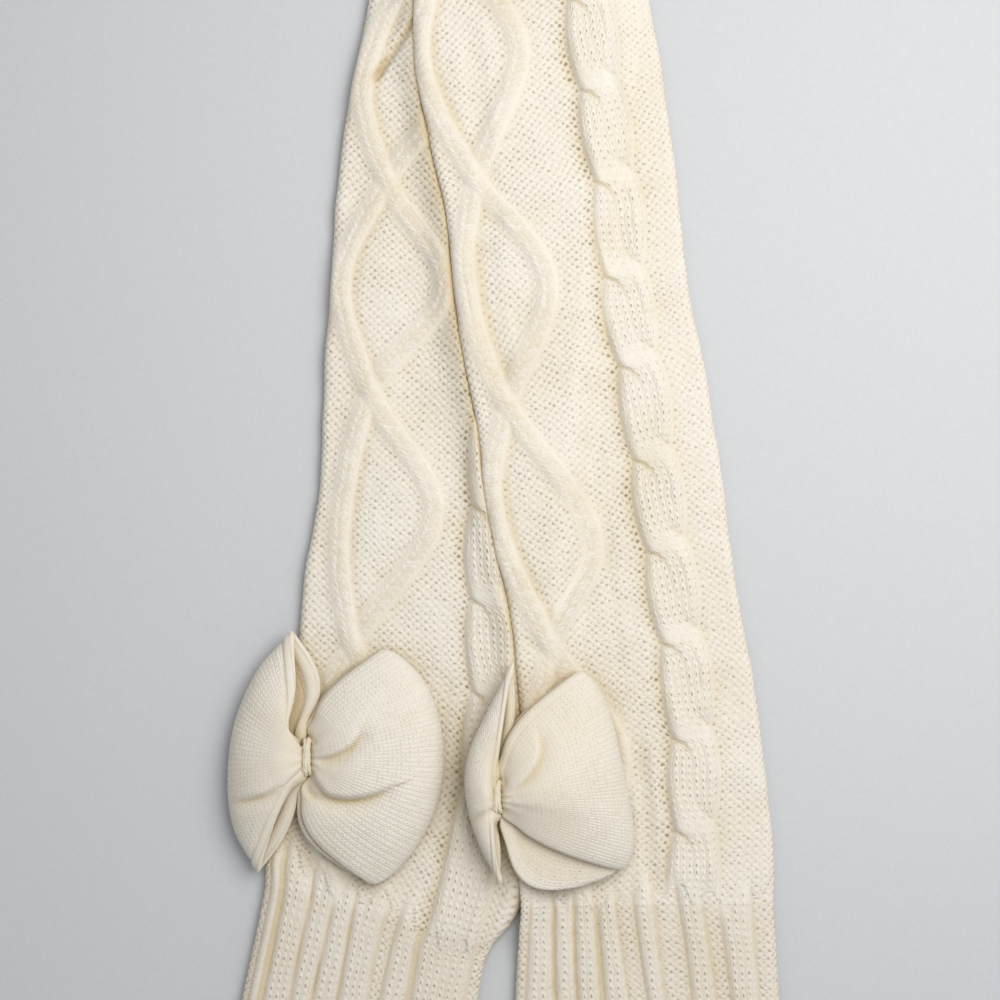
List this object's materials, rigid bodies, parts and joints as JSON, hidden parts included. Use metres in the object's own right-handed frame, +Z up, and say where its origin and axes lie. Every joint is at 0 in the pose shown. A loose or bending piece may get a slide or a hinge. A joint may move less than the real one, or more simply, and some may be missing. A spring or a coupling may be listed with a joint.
{
  "type": "pair of leg warmers",
  "caption": "Pair of cream cable-knit leg warmers with ribbed cuffs and a pinched knit bow on the outside of each, laid flat with the right one lying over the left.",
  "frame": {"origin": "centre of the pair's bounding box in plan, on the surface it lies on", "axes": "+Y up the legs from knee cuff to ankle cuff, +X to the right as laid out, +Z up from the surface"},
  "size_m": [0.2506, 0.5878, 0.0347],
  "materials": {
    "leg_knit": "cream purl and cable knit, matt and softly hairy",
    "rib_knit": "cream ribbed knit, matt",
    "bow_knit": "cream fine-gauge stocking knit, matt",
    "wrap_yarn": "cream plied yarn, wound"
  },
  "bodies": {
    "root": {"left_leg": "leg_knit", "left_knee_cuff": "rib_knit", "left_ankle_cuff": "rib_knit", "left_bow": "bow_knit", "left_bow_wrap": "wrap_yarn", "right_leg": "leg_knit", "right_knee_cuff": "rib_knit", "right_ankle_cuff": "rib_knit", "right_bow": "bow_knit", "right_bow_wrap": "wrap_yarn"}
  },
  "joints": []
}
